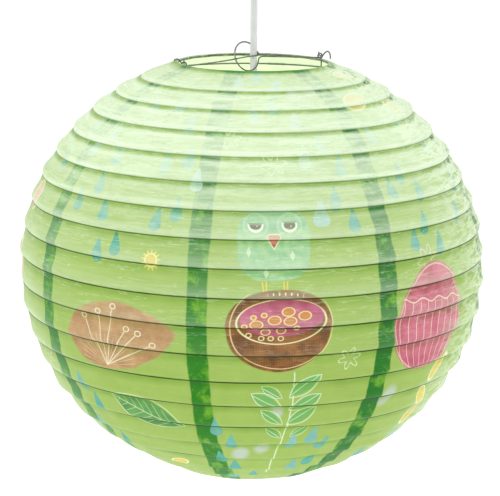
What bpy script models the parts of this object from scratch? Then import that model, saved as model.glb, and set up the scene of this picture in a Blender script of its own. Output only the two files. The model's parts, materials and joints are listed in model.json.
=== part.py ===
"""A round paper pendant shade hanging from a ceiling rose on its flex.

A wire stretcher holds the paper shade open: its bar crosses the top ring, loops round the flex and rests on
the lampholder, and its two legs reach down to the bottom ring. Eighteen wire hoops carry the paper, so with the
legs squeezed in, the shade folds flat towards its top ring.

Units are metres, +Z is up, and the origin is on the ceiling at the middle of the rose.
"""
import math

import bmesh
import bpy
from mathutils import Matrix, Vector

MM = 0.001
GAP = 0.3 * MM

# Paper shade
SHADE_RADIUS = 200 * MM
SHADE_POLE = 187 * MM  # half height of the round profile, if it went on to its poles
NECK_RADIUS = 65.5 * MM  # both mouths, to the middle of the ring wire
TOP_RING_Z = -100 * MM
MOUTH_DIP = 2.2 * MM  # the top ring is this much lower than the round profile would put it
RIB_COUNT = 18
RIB_FIRST = math.radians(61.1)  # places of the first and last hoops on the profile
RIB_LAST = math.radians(-62.9)
RIB_LIFT = math.radians(0.9)  # the middle hoops sit this much above an even spacing
AROUND = 32
PAPER = 0.6 * MM
RIB_WIRE = 1.2 * MM
RING_WIRE = 2.2 * MM
HEM_DROP = 4.0 * MM

# Wire stretcher
BAR_WIRE = 1.4 * MM
END_TURN = {-1: math.radians(3), 1: math.radians(14)}  # turns about the flex of the bar's left and right ends
EYE_REACH = 59.7 * MM
EYE_RADIUS = 2.0 * MM
EYE_PITCH = 1.75 * MM
EYE_HEIGHT = {-1: -1.4 * MM, 1: 5.4 * MM}  # from the top ring
HOOKS = {  # each hook over the ring, from its tip, as (distance from the flex, height above the ring) in mm
    -1: [(68.6, 2.0), (67.4, 3.1), (65.8, 3.5), (64.1, 2.9), (62.6, 1.2)],
    1: [(68.8, 2.0), (68.8, 5.0), (68.2, 7.4), (66.9, 9.0), (65.5, 9.2), (64.2, 8.3), (62.8, 6.9)],
}
LOOP_TURN = math.radians(22)
LOOP_RISE = 6.2 * MM
LOOP_MIDDLE = -6.4 * MM
LOOP_WIDE = 10.8 * MM
LOOP_TALL = 13.5 * MM
LOOP_TILT = math.radians(62)

# Flex, rose and lampholder
FLEX = 6.0 * MM
ROSE_RADIUS = 41 * MM
ROSE_DEPTH = 26 * MM
BASE_RADIUS = 38 * MM
BASE_DEPTH = 5 * MM
HOLDER_TOP = TOP_RING_Z - 6.8 * MM  # the neck that the stretcher's loop rests on
FLEX_HOLE = FLEX / 2 + GAP
BARREL_RADIUS = 13.2 * MM
BARREL_BORE = 11.5 * MM
CONTACT_REACH = 4.6 * MM
PIN_DROP = 43.7 * MM  # lamp pins below the holder's neck
TWIST = math.radians(20)

# Lamp
BULB_RADIUS = 30 * MM
CAP_RADIUS = 11.0 * MM
GLASS = 1.0 * MM

PAPER_GREEN = (0.56, 0.74, 0.38)
STEEL_GREY = (0.34, 0.34, 0.35)
PLASTIC_WHITE = (0.86, 0.86, 0.84)


def clear_scene():
    for thing in list(bpy.data.objects):
        bpy.data.objects.remove(thing, do_unlink=True)


def make_material(name, colour, roughness, metallic=0.0):
    material = bpy.data.materials.new(name)
    material.use_nodes = True
    shader = material.node_tree.nodes["Principled BSDF"]
    shader.inputs["Base Color"].default_value = (*colour, 1.0)
    shader.inputs["Roughness"].default_value = roughness
    shader.inputs["Metallic"].default_value = metallic
    return material


def add_axis(name, place, parent=None):
    """An empty on a joint's axis."""
    axis = bpy.data.objects.new(name, None)
    axis.empty_display_size = 20 * MM
    axis.location = Vector(place) - (parent.matrix_world.translation if parent else Vector())
    axis.parent = parent
    bpy.context.collection.objects.link(axis)
    bpy.context.view_layer.update()
    return axis


def place_object(name, data, parent, material):
    """Link data made in world coordinates, with its origin moved to its parent's axis."""
    thing = bpy.data.objects.new(name, data)
    bpy.context.collection.objects.link(thing)
    data.materials.append(material)
    data.transform(Matrix.Translation(-parent.matrix_world.translation))
    thing.parent = parent
    return thing


def mesh_object(name, shape, parent, material, sharp_angle=40):
    bmesh.ops.remove_doubles(shape, verts=shape.verts, dist=0.00001)
    bmesh.ops.recalc_face_normals(shape, faces=shape.faces)
    mesh = bpy.data.meshes.new(name)
    shape.to_mesh(mesh)
    shape.free()
    mesh.shade_smooth()
    mesh.set_sharp_from_angle(angle=math.radians(sharp_angle))
    return place_object(name, mesh, parent, material)


def turned(name, outline, parent, material, around=32, closed=True):
    """Spin an outline of (radius, height) about Z; an open outline starts and ends on the axis."""
    shape = bmesh.new()
    points = [shape.verts.new((radius, 0, height)) for radius, height in outline]
    edges = [shape.edges.new(pair) for pair in zip(points, points[1:])]
    if closed:
        edges.append(shape.edges.new((points[-1], points[0])))
    bmesh.ops.spin(shape, geom=points + edges, cent=(0, 0, 0), axis=(0, 0, 1), angle=2 * math.pi, steps=around,
                   use_merge=True)
    return mesh_object(name, shape, parent, material)


def wire_outline(radius, height, wire, sides):
    turn = 2 * math.pi / sides
    return [(radius + wire / 2 * math.cos(i * turn), height + wire / 2 * math.sin(i * turn)) for i in range(sides)]


def hoop(name, radius, height, wire, sides, parent, material):
    return turned(name, wire_outline(radius, height, wire, sides), parent, material, AROUND)


def wire(name, points, thickness, parent, material, resolution=1):
    """A round wire or cord along a list of points, with flat ends."""
    curve = bpy.data.curves.new(name, "CURVE")
    curve.dimensions = "3D"
    curve.bevel_depth = thickness / 2
    curve.bevel_resolution = resolution
    curve.use_fill_caps = True
    line = curve.splines.new("POLY")
    line.points.add(len(points) - 1)
    for knot, point in zip(line.points, points):
        knot.co = (*point, 1)
    return place_object(name, curve, parent, material)


def rod(name, radius, low, high, x, y, parent, material, around=16):
    shape = bmesh.new()
    middle = Matrix.Translation((x, y, (low + high) / 2))
    bmesh.ops.create_cone(shape, cap_ends=True, segments=around, radius1=radius, radius2=radius, depth=high - low,
                          matrix=middle)
    return mesh_object(name, shape, parent, material)


def as_cutter(thing):
    thing.hide_render = True
    thing.display_type = "WIRE"
    return thing


def boolean(thing, other, operation="DIFFERENCE"):
    step = thing.modifiers.new(other.name, "BOOLEAN")
    step.operation = operation
    step.solver = "EXACT"
    step.object = as_cutter(other)


def arc_between(start, end, steps):
    return [start + (end - start) * i / steps for i in range(steps + 1)]


def profile(angle):
    """The shade's round profile: radius and height above its widest hoop."""
    return SHADE_RADIUS * math.cos(angle), SHADE_POLE * math.sin(angle)


NECK_ANGLE = math.acos(NECK_RADIUS / SHADE_RADIUS)
HALF_HEIGHT = profile(NECK_ANGLE)[1]
WIDEST_Z = TOP_RING_Z + MOUTH_DIP - HALF_HEIGHT
BOTTOM_RING_Z = WIDEST_Z - HALF_HEIGHT


def rib_angles():
    even = arc_between(RIB_FIRST, RIB_LAST, RIB_COUNT - 1)
    return [angle + RIB_LIFT * math.sin(math.pi * i / (RIB_COUNT - 1)) ** 3 for i, angle in enumerate(even)]


def hem(height, side):
    """The paper's fold round a ring, from the outside of the ring to its inner edge, as (radius, height)."""
    fold = RING_WIRE / 2 + GAP + PAPER / 2
    turns = [math.radians(angle) for angle in (68, 105, 142, 180)]
    points = [(NECK_RADIUS + fold * math.cos(a), height + side * fold * math.sin(a)) for a in turns]
    points.append((NECK_RADIUS - fold, height - side * HEM_DROP))
    return points


def offset_line(points, distance):
    """Shift an open outline sideways by distance, with mitred corners."""
    shifted = []
    for i, point in enumerate(points):
        before = Vector(points[max(i - 1, 0)])
        here = Vector(point)
        after = Vector(points[min(i + 1, len(points) - 1)])
        normals = []
        for step in (here - before, after - here):
            if step.length > 0:
                normals.append(Vector((-step.y, step.x)).normalized())
        normal = sum(normals, Vector((0, 0))).normalized()
        shifted.append(tuple(here + normal * distance / normal.dot(normals[0])))
    return shifted


def build_skin(parent, material):
    """One sheet of paper over all the hoops, folded over both rings."""
    ribs = [(radius, WIDEST_Z + height) for radius, height in map(profile, rib_angles())]
    middle = hem(TOP_RING_Z, 1)[::-1] + ribs + hem(BOTTOM_RING_Z, -1)
    outline = offset_line(middle, PAPER / 2) + offset_line(middle, -PAPER / 2)[::-1]
    turned("paper_skin", outline, parent, material, AROUND)


def build_ribs(shade_axis, material):
    """The hoops lie inside the paper, each on its own sliding axis."""
    inset = PAPER / 2 + GAP + RIB_WIRE / 2
    for number, angle in enumerate(rib_angles(), start=1):
        radius, height = profile(angle)
        normal = Vector((radius / SHADE_RADIUS ** 2, height / SHADE_POLE ** 2)).normalized()
        radius -= normal.x * inset
        level = WIDEST_Z + height - normal.y * inset
        axis = add_axis(f"rib_{number:02d}_slide", (0, 0, level), shade_axis)
        hoop(f"rib_{number:02d}", radius, level, RIB_WIRE, 4, axis, material)


def bar_point(along, across, up, turn):
    """A point by its distance along the bar, behind the bar and above the top ring."""
    x = along * math.cos(turn) - across * math.sin(turn)
    y = along * math.sin(turn) + across * math.cos(turn)
    return Vector((x, y, TOP_RING_Z + up))


def bar_end(side):
    """One end of the bar, from the tip of its hook over the ring to the end of its eye."""
    points = [(along * MM, 0, up * MM) for along, up in HOOKS[side]]
    for turn in arc_between(0, -2.5 * math.pi, 15):
        across = -turn / (2 * math.pi) * EYE_PITCH
        height = EYE_HEIGHT[side] + EYE_RADIUS * math.sin(turn)
        points.append((EYE_REACH + EYE_RADIUS * math.cos(turn), across, height))
    return [bar_point(side * along, across, up, END_TURN[side]) for along, across, up in points]


def bar_run(points, turn):
    return [bar_point(along * MM, across * MM, up * MM, turn) for along, across, up in points]


def bar_loop():
    """The bar's middle: past the front of the flex, once round behind it, and out to the right."""
    left_run = [(-46, 1.2, -1.3), (-30, -1.2, 1.2), (-15.4, -3.4, 3.9), (-6.4, -4.5, 6.2)]
    front = [(-1.8, -4.7, 6.9), (2.0, -4.7, 7.1), (4.5, -3.6, 7.5)]
    route = bar_run(left_run, END_TURN[-1]) + bar_run(front, LOOP_TURN)
    for angle in arc_between(math.radians(15), math.radians(348), 22):
        lift = LOOP_TALL * math.sin(angle)
        along = LOOP_MIDDLE + LOOP_WIDE * math.cos(angle)
        across = lift * math.cos(LOOP_TILT)
        route.append(bar_point(along, across, LOOP_RISE + lift * math.sin(LOOP_TILT), LOOP_TURN))
    back = [(5.9, 0.3, 5.0), (9.5, 1.4, 5.6)]
    right_run = [(22, 0.3, 5.2), (42, 1.2, 4.4)]
    return route + bar_run(back, LOOP_TURN) + bar_run(right_run, END_TURN[1])


def build_bar(shade_axis, steel):
    points = bar_end(-1) + bar_loop() + bar_end(1)[::-1]
    wire("stretcher_bar", points, BAR_WIRE, shade_axis, steel)


def build_leg(side, name, shade_axis, steel):
    """A leg hangs in the bar's eye, runs down inside the shade, and turns out under the bottom ring."""
    eye = EYE_HEIGHT[side]
    foot = BOTTOM_RING_Z - TOP_RING_Z - RING_WIRE / 2 - PAPER - 2 * GAP - BAR_WIRE / 2
    turn = END_TURN[side]
    axis = add_axis(f"{name}_pivot", bar_point(side * EYE_REACH, 0, eye, turn), shade_axis)
    points = [(0, 5.2, eye + 3.2 * MM), (0, 5.1, eye + 1.0 * MM), (0, 4.5, eye + 0.2 * MM), (0, 3.6, eye),
              (0, -2.0, eye), (0, -2.8, eye - 0.3 * MM), (0, -3.2, eye - 1.2 * MM), (0, -3.2, -30 * MM),
              (0, -3.0, -90 * MM), (0, -1.5, -170 * MM), (0, -0.3, -250 * MM), (0, 0, -320 * MM),
              (0, 0, foot + 5.0 * MM), (0.4, 0, foot + 2.0 * MM), (1.8, 0, foot + 0.4 * MM), (3.4, 0, foot),
              (11.0, 0, foot), (12.4, 0, foot + 0.3 * MM)]
    route = [bar_point(side * (EYE_REACH + out * MM), across * MM, up, turn) for out, across, up in points]
    wire(name, route, BAR_WIRE, axis, steel)


def build_rose(pendant, materials):
    base = turned("ceiling_rose_base", [(0, 0), (BASE_RADIUS, 0), (BASE_RADIUS, -BASE_DEPTH), (0, -BASE_DEPTH)],
                  pendant, materials["white"], 28, closed=False)
    holes = [("screw_hole_left", 2.3 * MM, -26 * MM, 0), ("screw_hole_right", 2.3 * MM, 26 * MM, 0),
             ("cable_hole", 5 * MM, 0, 24 * MM)]
    for name, radius, x, y in holes:
        boolean(base, rod(name, radius, -10 * MM, 5 * MM, x, y, pendant, materials["white"], 12))

    block_top = -BASE_DEPTH - GAP
    block_low = block_top - 9 * MM
    shape = bmesh.new()
    size = Matrix.Diagonal((26 * MM, 13 * MM, block_top - block_low, 1))
    middle = Matrix.Translation((0, 0, (block_top + block_low) / 2))
    bmesh.ops.create_cube(shape, size=1, matrix=middle @ size)
    bmesh.ops.bevel(shape, geom=shape.edges[:], offset=1 * MM, segments=1, affect="EDGES")
    mesh_object("rose_terminal_block", shape, pendant, materials["white"])
    for name, x in (("terminal_screw_left", -8 * MM), ("terminal_screw_middle", 0), ("terminal_screw_right", 8 * MM)):
        head_top = block_low - GAP
        rod(name, 1.9 * MM, head_top - 1.2 * MM, head_top, x, -3.5 * MM, pendant, materials["brass"], 10)

    cover_axis = add_axis("rose_cover_slide", (0, 0, -ROSE_DEPTH), pendant)
    wall = 2 * MM
    rim = -0.5 * MM
    outside = [(ROSE_RADIUS, rim), (ROSE_RADIUS, -12 * MM)]
    inside = [(ROSE_RADIUS - wall, rim), (ROSE_RADIUS - wall, -12 * MM)]
    for angle in arc_between(math.radians(15), math.radians(75), 4):
        outside.append((10 * MM + 31 * MM * math.cos(angle), -12 * MM - 13.5 * MM * math.sin(angle)))
        inside.append((10 * MM + 29 * MM * math.cos(angle), -12 * MM - 11.5 * MM * math.sin(angle)))
    hole = 5 * MM
    outside += [(9 * MM, -ROSE_DEPTH), (hole, -ROSE_DEPTH)]
    inside += [(hole, -ROSE_DEPTH + wall)]
    turned("ceiling_rose_cover", outside + inside[::-1], cover_axis, materials["white"], 28)
    neck = hole - GAP
    flange = -ROSE_DEPTH - GAP
    gland = [(FLEX_HOLE, -ROSE_DEPTH + wall), (neck, -ROSE_DEPTH + wall), (neck, flange), (7 * MM, flange),
             (6.4 * MM, flange - 2 * MM), (4.3 * MM, flange - 7 * MM), (FLEX_HOLE, flange - 7 * MM)]
    turned("rose_cord_gland", gland, cover_axis, materials["white"], 24)


def build_flex(pendant, material):
    top = -BASE_DEPTH - GAP - 9 * MM - GAP - 1.5 * MM
    low = HOLDER_TOP - 6.5 * MM
    heights = arc_between(top, low, 7)
    wire("pendant_cord", [(0, 0, height) for height in heights], FLEX, pendant, material, 3)


def slot_cutter(name, start, end, low, high, pendant, material):
    """A wedge of the barrel's wall between two angles and two heights."""
    shape = bmesh.new()
    rings = []
    for angle in arc_between(start, end, 4):
        corners = [(BARREL_BORE - 1.5 * MM, low), (BARREL_RADIUS + 2 * MM, low), (BARREL_RADIUS + 2 * MM, high),
                   (BARREL_BORE - 1.5 * MM, high)]
        rings.append([shape.verts.new((r * math.cos(angle), r * math.sin(angle), z)) for r, z in corners])
    shape.faces.new(rings[0])
    shape.faces.new(rings[-1][::-1])
    for this, other in zip(rings, rings[1:]):
        for i in range(4):
            shape.faces.new((this[i], other[i], other[(i + 1) % 4], this[(i + 1) % 4]))
    return mesh_object(name, shape, pendant, material)


def from_neck(outline):
    """Turn (radius, drop) in millimetres below the holder's neck into world values."""
    return [(radius * MM, HOLDER_TOP - drop * MM) for radius, drop in outline]


def build_holder(pendant, materials):
    hole = FLEX_HOLE / MM
    cap = from_neck([(hole, 0), (6.4, 0), (7, 0.6), (7, 4.5), (10.5, 6.2), (15.5, 9.4), (18, 13.5), (18, 20),
                     (16.1, 20), (16.1, 12.5), (13.6, 10.4), (8.5, 8.6), (hole, 7.6)])
    turned("holder_cap", cap, pendant, materials["white"])

    barrel = turned("holder_barrel", from_neck([(11.5, 12.9), (15.7, 12.9), (15.7, 20.3), (18, 20.3), (18, 22.3),
                                                (13.2, 22.6), (13.2, 55.7), (11.5, 55.7)]),
                    pendant, materials["white"])
    pin = HOLDER_TOP - PIN_DROP
    low = HOLDER_TOP - 60 * MM
    for side, base in (("front", -math.pi / 2), ("back", math.pi / 2)):
        rest = math.radians(8)
        boolean(barrel, slot_cutter(f"{side}_slot_turn", base - rest, base + TWIST + rest, pin - 1.6 * MM,
                                    pin + 1.6 * MM, pendant, materials["white"]))
        boolean(barrel, slot_cutter(f"{side}_slot_mouth", base + TWIST - rest, base + TWIST + rest, low,
                                    pin, pendant, materials["white"]))

    ring_axis = add_axis("shade_ring_slide", (0, 0, HOLDER_TOP - 22.9 * MM), pendant)
    turned("holder_shade_ring", from_neck([(13.6, 23.0), (19.2, 23.0), (20, 23.8), (20, 27.2), (19.2, 28.0),
                                           (16.4, 28.4), (15.6, 31.0), (13.6, 31.0)]), ring_axis, materials["white"])

    block_top = HOLDER_TOP - 16 * MM
    block_low = HOLDER_TOP - 33 * MM
    block = rod("holder_contact_block", 11.2 * MM, block_low, block_top, 0, 0, pendant, materials["cream"], 24)
    contact_top = HOLDER_TOP - 36.1 * MM
    for name, side in (("left", -1), ("right", 1)):
        x = side * CONTACT_REACH
        boolean(block, rod(f"plunger_bore_{name}", 2.7 * MM, block_low - 3 * MM, block_top - 2 * MM, x, 0, pendant,
                           materials["cream"], 16))
        tip = contact_top + GAP
        axis = add_axis(f"contact_plunger_{name}_slide", (x, 0, tip), pendant)
        shape = [(0, tip), (1.3 * MM, tip), (1.7 * MM, tip + 0.5 * MM), (1.7 * MM, tip + 5.5 * MM),
                 (2.3 * MM, tip + 5.5 * MM), (2.3 * MM, tip + 8 * MM), (0, tip + 8 * MM)]
        plunger = turned(f"contact_plunger_{name}", shape, axis, materials["brass"], 16, closed=False)
        plunger.data.transform(Matrix.Translation((x, 0, 0)))
        spring_low = tip + 8 * MM + 0.6 * MM
        spring_top = block_top - 2 * MM - 0.6 * MM
        turns = arc_between(0, 4 * 2 * math.pi, 36)
        rise = (spring_top - spring_low) / turns[-1]
        coil = [(x + 1.7 * MM * math.cos(a), 1.7 * MM * math.sin(a), spring_low + a * rise) for a in turns]
        wire(f"plunger_spring_{name}", coil, 0.5 * MM, pendant, materials["steel"], 0)
    return contact_top


def build_lamp(pendant, contact_top, materials):
    lamp_axis = add_axis("lamp_twist", (0, 0, HOLDER_TOP - PIN_DROP), pendant)
    pad_low = contact_top - 0.8 * MM
    disc_top = pad_low - GAP
    disc_low = disc_top - 3.5 * MM
    for name, x in (("lamp_contact_left", -CONTACT_REACH), ("lamp_contact_right", CONTACT_REACH)):
        rod(name, 2.4 * MM, pad_low, contact_top, x, 0, lamp_axis, materials["solder"], 12)
    rod("lamp_insulator", 10.0 * MM, disc_low, disc_top, 0, 0, lamp_axis, materials["black"], 24)

    cap_top = disc_top - 0.5 * MM
    cap_low = HOLDER_TOP - 58.5 * MM
    bore = CAP_RADIUS - 0.6 * MM
    cap = turned("lamp_cap", [(CAP_RADIUS, cap_top), (CAP_RADIUS, cap_low), (bore, cap_low), (bore, cap_top)],
                 lamp_axis, materials["brass"], 24)
    pin_height = HOLDER_TOP - PIN_DROP
    for name, side in (("pin_front", -1), ("pin_back", 1)):
        shape = bmesh.new()
        inner = bore + 0.2 * MM
        outer = BARREL_RADIUS - 0.2 * MM
        lay = Matrix.Rotation(math.pi / 2, 4, "X")
        middle = Matrix.Translation((0, side * (inner + outer) / 2, pin_height))
        bmesh.ops.create_cone(shape, cap_ends=True, segments=10, radius1=1 * MM, radius2=1 * MM,
                              depth=outer - inner, matrix=middle @ lay)
        boolean(cap, mesh_object(name, shape, lamp_axis, materials["brass"]), "UNION")

    neck = bore - GAP
    neck_top = disc_low - GAP
    flare = cap_low - 0.5 * MM
    centre = flare - 36 * MM
    outside = []
    inside = []
    for angle in arc_between(math.radians(-90), math.radians(48), 8):
        outside.append((BULB_RADIUS * math.cos(angle), centre + BULB_RADIUS * math.sin(angle)))
        inner = BULB_RADIUS - GLASS
        inside.append((inner * math.cos(angle), centre + inner * math.sin(angle)))
    outside[0] = (0, outside[0][1])
    inside[0] = (0, inside[0][1])
    outside += [(14.5 * MM, flare - 7 * MM), (11.2 * MM, flare - 2.5 * MM), (neck, flare), (neck, neck_top)]
    inside += [(13.5 * MM, flare - 7.3 * MM), (10.2 * MM, flare - 2.8 * MM), (neck - GLASS, flare),
               (neck - GLASS, neck_top)]
    turned("lamp_glass", outside + inside[::-1], lamp_axis, materials["opal"], 20, closed=False)


def main():
    clear_scene()
    paper = make_material("paper", PAPER_GREEN, 0.6)
    steel = make_material("wire_steel", STEEL_GREY, 0.35, 1.0)
    materials = {
        "white": make_material("white_plastic", PLASTIC_WHITE, 0.35),
        "cream": make_material("cream_plastic", (0.78, 0.74, 0.64), 0.45),
        "brass": make_material("brass", (0.78, 0.6, 0.3), 0.3, 1.0),
        "steel": steel,
        "solder": make_material("solder", (0.6, 0.6, 0.62), 0.4, 1.0),
        "black": make_material("black_glass", (0.02, 0.02, 0.025), 0.15),
        "opal": make_material("opal_glass", (0.92, 0.91, 0.88), 0.2),
    }
    pendant = add_axis("pendant", (0, 0, 0))
    build_rose(pendant, materials)
    build_flex(pendant, make_material("flex_sheath", (0.72, 0.72, 0.72), 0.4))
    contact_top = build_holder(pendant, materials)
    build_lamp(pendant, contact_top, materials)

    shade_axis = add_axis("shade_swivel", (0, 0, TOP_RING_Z), pendant)
    hoop("top_ring", NECK_RADIUS, TOP_RING_Z, RING_WIRE, 6, shade_axis, steel)
    build_skin(shade_axis, paper)
    build_bar(shade_axis, steel)
    build_leg(-1, "stretcher_leg_left", shade_axis, steel)
    build_leg(1, "stretcher_leg_right", shade_axis, steel)
    build_ribs(shade_axis, steel)
    ring_axis = add_axis("shade_fold", (0, 0, BOTTOM_RING_Z), shade_axis)
    hoop("bottom_ring", NECK_RADIUS, BOTTOM_RING_Z, RING_WIRE, 6, ring_axis, steel)


main()
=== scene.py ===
import json
import math

import bpy
import numpy as np
from mathutils import Matrix, Vector, noise


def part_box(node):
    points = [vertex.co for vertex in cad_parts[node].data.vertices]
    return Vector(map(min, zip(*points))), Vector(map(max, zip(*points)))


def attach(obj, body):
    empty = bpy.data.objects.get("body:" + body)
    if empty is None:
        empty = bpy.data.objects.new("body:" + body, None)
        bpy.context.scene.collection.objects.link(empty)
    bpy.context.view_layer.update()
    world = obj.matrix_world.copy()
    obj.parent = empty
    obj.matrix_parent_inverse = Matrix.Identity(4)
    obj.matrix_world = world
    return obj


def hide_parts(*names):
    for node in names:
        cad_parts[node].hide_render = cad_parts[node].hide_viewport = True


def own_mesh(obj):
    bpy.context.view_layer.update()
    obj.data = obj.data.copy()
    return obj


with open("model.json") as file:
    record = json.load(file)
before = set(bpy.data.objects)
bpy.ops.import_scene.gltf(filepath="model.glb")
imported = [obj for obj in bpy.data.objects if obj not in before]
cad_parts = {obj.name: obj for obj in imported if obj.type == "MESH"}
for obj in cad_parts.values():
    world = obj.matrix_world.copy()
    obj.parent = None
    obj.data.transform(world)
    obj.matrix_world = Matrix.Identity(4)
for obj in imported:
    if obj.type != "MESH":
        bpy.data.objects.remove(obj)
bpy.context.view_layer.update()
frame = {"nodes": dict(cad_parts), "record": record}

mm = 0.001
nodes = frame["nodes"]
bodyOf = {node: body for body, members in frame["record"]["behaviour"]["bodies"].items() for node in members}
ribNames = sorted(name for name in nodes if name.startswith("rib_"))


def boxOf(node):
    low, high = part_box(node)
    return Vector(low), Vector(high)


def middleOf(node):
    low, high = boxOf(node)
    return (low + high) / 2


topZ = middleOf("top_ring").z
bottomZ = middleOf("bottom_ring").z
ringWire = boxOf("top_ring")[1].z - topZ
neckRadius = boxOf("top_ring")[1].x - ringWire
widestZ = middleOf(ribNames[len(ribNames) // 2 - 1]).z

view = {"back": 1.9012, "rise": 0.2291, "dip": 11.637, "roll": 0.6, "lens": 159.6, "shift": -0.003}


def placeCamera():
    bpy.ops.object.camera_add()
    camera = bpy.context.object
    camera.name = "camera"
    camera.data.lens = view["lens"]
    camera.data.sensor_width = 36
    camera.data.shift_x = view["shift"]
    camera.data.clip_end = 60
    tip = Matrix.Rotation(math.radians(90 - view["dip"]), 4, "X")
    lean = Matrix.Rotation(math.radians(view["roll"]), 4, "Z")
    camera.matrix_world = Matrix.Translation((0, -view["back"], topZ + view["rise"])) @ tip @ lean
    bpy.context.scene.camera = camera


def addLight(name, place, aim, size, power):
    bpy.ops.object.light_add(type="AREA", location=place)
    lamp = bpy.context.object
    lamp.name = name
    lamp.data.shape = "DISK"
    lamp.data.size = size
    lamp.data.energy = power
    lamp.rotation_euler = (Vector(aim) - Vector(place)).to_track_quat("-Z", "Y").to_euler()


studio = {"world": 0.76, "floorDrop": 0.42, "floorSize": 60, "top": 15, "topSize": 1.7, "side": 6,
          "sideSize": 1.1}


def buildStudio():
    world = bpy.data.worlds.new("studio")
    bpy.context.scene.world = world
    world.use_nodes = True
    sky = world.node_tree.nodes["Background"]
    sky.inputs["Color"].default_value = (1, 1, 1, 1)
    sky.inputs["Strength"].default_value = studio["world"]
    bpy.context.scene.view_settings.view_transform = "Standard"
    middle = (0, 0, widestZ)
    addLight("topLight", (-0.25, -1.0, widestZ + 1.75), middle, studio["topSize"], studio["top"])
    addLight("leftLight", (-1.9, 0.5, widestZ + 0.5), middle, studio["sideSize"], studio["side"])
    addLight("rightLight", (1.9, 0.4, widestZ + 0.5), middle, studio["sideSize"], studio["side"])
    bpy.ops.mesh.primitive_plane_add(size=studio["floorSize"], location=(0, 0, bottomZ - studio["floorDrop"]))
    floor = bpy.context.object
    floor.name = "studioFloor"
    floor.data.materials.append(plainFloor())


class Signal:
    # one output socket; expressions on it add Math nodes
    def __init__(self, tree, socket=None):
        self.tree = tree
        self.socket = socket

    def node(self, kind, settings=None, inputs=None, output=0):
        made = self.tree.nodes.new(kind)
        for key, value in (settings or {}).items():
            if key == "stops":
                setStops(made.color_ramp, value)
            else:
                setattr(made, key, value)
        for key, value in (inputs or {}).items():
            if isinstance(value, Signal):
                self.tree.links.new(value.socket, made.inputs[key])
            else:
                made.inputs[key].default_value = value
        return Signal(self.tree, made.outputs[output])

    def maths(self, operation, *values, clamp=False):
        settings = {"operation": operation, "use_clamp": clamp}
        return self.node("ShaderNodeMath", settings, dict(enumerate(values)))

    def __add__(self, other):
        return self.maths("ADD", self, other)

    def __radd__(self, other):
        return self.maths("ADD", other, self)

    def __sub__(self, other):
        return self.maths("SUBTRACT", self, other)

    def __rsub__(self, other):
        return self.maths("SUBTRACT", other, self)

    def __mul__(self, other):
        return self.maths("MULTIPLY", self, other)

    def __rmul__(self, other):
        return self.maths("MULTIPLY", other, self)

    def __truediv__(self, other):
        return self.maths("DIVIDE", self, other)

    def __pow__(self, other):
        return self.maths("POWER", self, other)

    def abs(self):
        return self.maths("ABSOLUTE", self)

    def sin(self):
        return self.maths("SINE", self)

    def least(self, other):
        return self.maths("MINIMUM", self, other)

    def most(self, other):
        return self.maths("MAXIMUM", self, other)

    def below(self, edge, soft):
        # 1 where the value is under the edge, 0 over it, blurred by soft each way
        return self.maths("MULTIPLY_ADD", self, -0.5 / soft, 0.5 + edge * 0.5 / soft, clamp=True)

    def above(self, edge, soft):
        return self.maths("MULTIPLY_ADD", self, 0.5 / soft, 0.5 - edge * 0.5 / soft, clamp=True)

    def ramp(self, stops):
        # a grey level read off a list of (place, level)
        stops = [(place, (level, level, level, 1)) for place, level in stops]
        return self.node("ShaderNodeValToRGB", {"stops": stops}, {0: self})

    def over(self, under, colour):
        # lay a colour over another where this mask is 1
        wanted = {"data_type": "RGBA", "blend_type": "MIX"}
        return self.node("ShaderNodeMix", wanted, {0: self, 6: under, 7: colour}, 2)

    def times(self, under, colour):
        wanted = {"data_type": "RGBA", "blend_type": "MULTIPLY"}
        return self.node("ShaderNodeMix", wanted, {0: self, 6: under, 7: colour}, 2)


def setStops(ramp, stops):
    while len(ramp.elements) < len(stops):
        ramp.elements.new(1)
    for element, (place, colour) in zip(ramp.elements, stops):
        element.position = place
        element.color = colour


def paint(red, green, blue):
    # a colour as a paint chart gives it, 0 to 255, made linear
    def one(value):
        share = value / 255
        return share / 12.92 if share <= 0.04045 else ((share + 0.055) / 1.055) ** 2.4
    return (one(red), one(green), one(blue), 1)


def startMaterial(name):
    material = bpy.data.materials.new(name)
    material.use_nodes = True
    tree = material.node_tree
    return material, tree, tree.nodes["Principled BSDF"], Signal(tree)


def feed(tree, shader, name, value):
    if isinstance(value, Signal):
        tree.links.new(value.socket, shader.inputs[name])
    else:
        shader.inputs[name].default_value = value


def noiseOf(start, spot, scale, detail=3, rough=0.5):
    settings = {"Vector": spot, "Scale": scale, "Detail": detail, "Roughness": rough}
    return start.node("ShaderNodeTexNoise", inputs=settings)


def plainFloor():
    material, tree, shader, start = startMaterial("floorPaint")
    place = start.node("ShaderNodeTexCoord", output="Object")
    cloud = noiseOf(start, place, 0.6)
    feed(tree, shader, "Base Color", cloud.over((0.95, 0.95, 0.95, 1), (0.98, 0.98, 0.98, 1)))
    feed(tree, shader, "Roughness", 0.9)
    shader.inputs["Emission Color"].default_value = (1, 1, 1, 1)
    shader.inputs["Emission Strength"].default_value = 0.3
    return material


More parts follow.
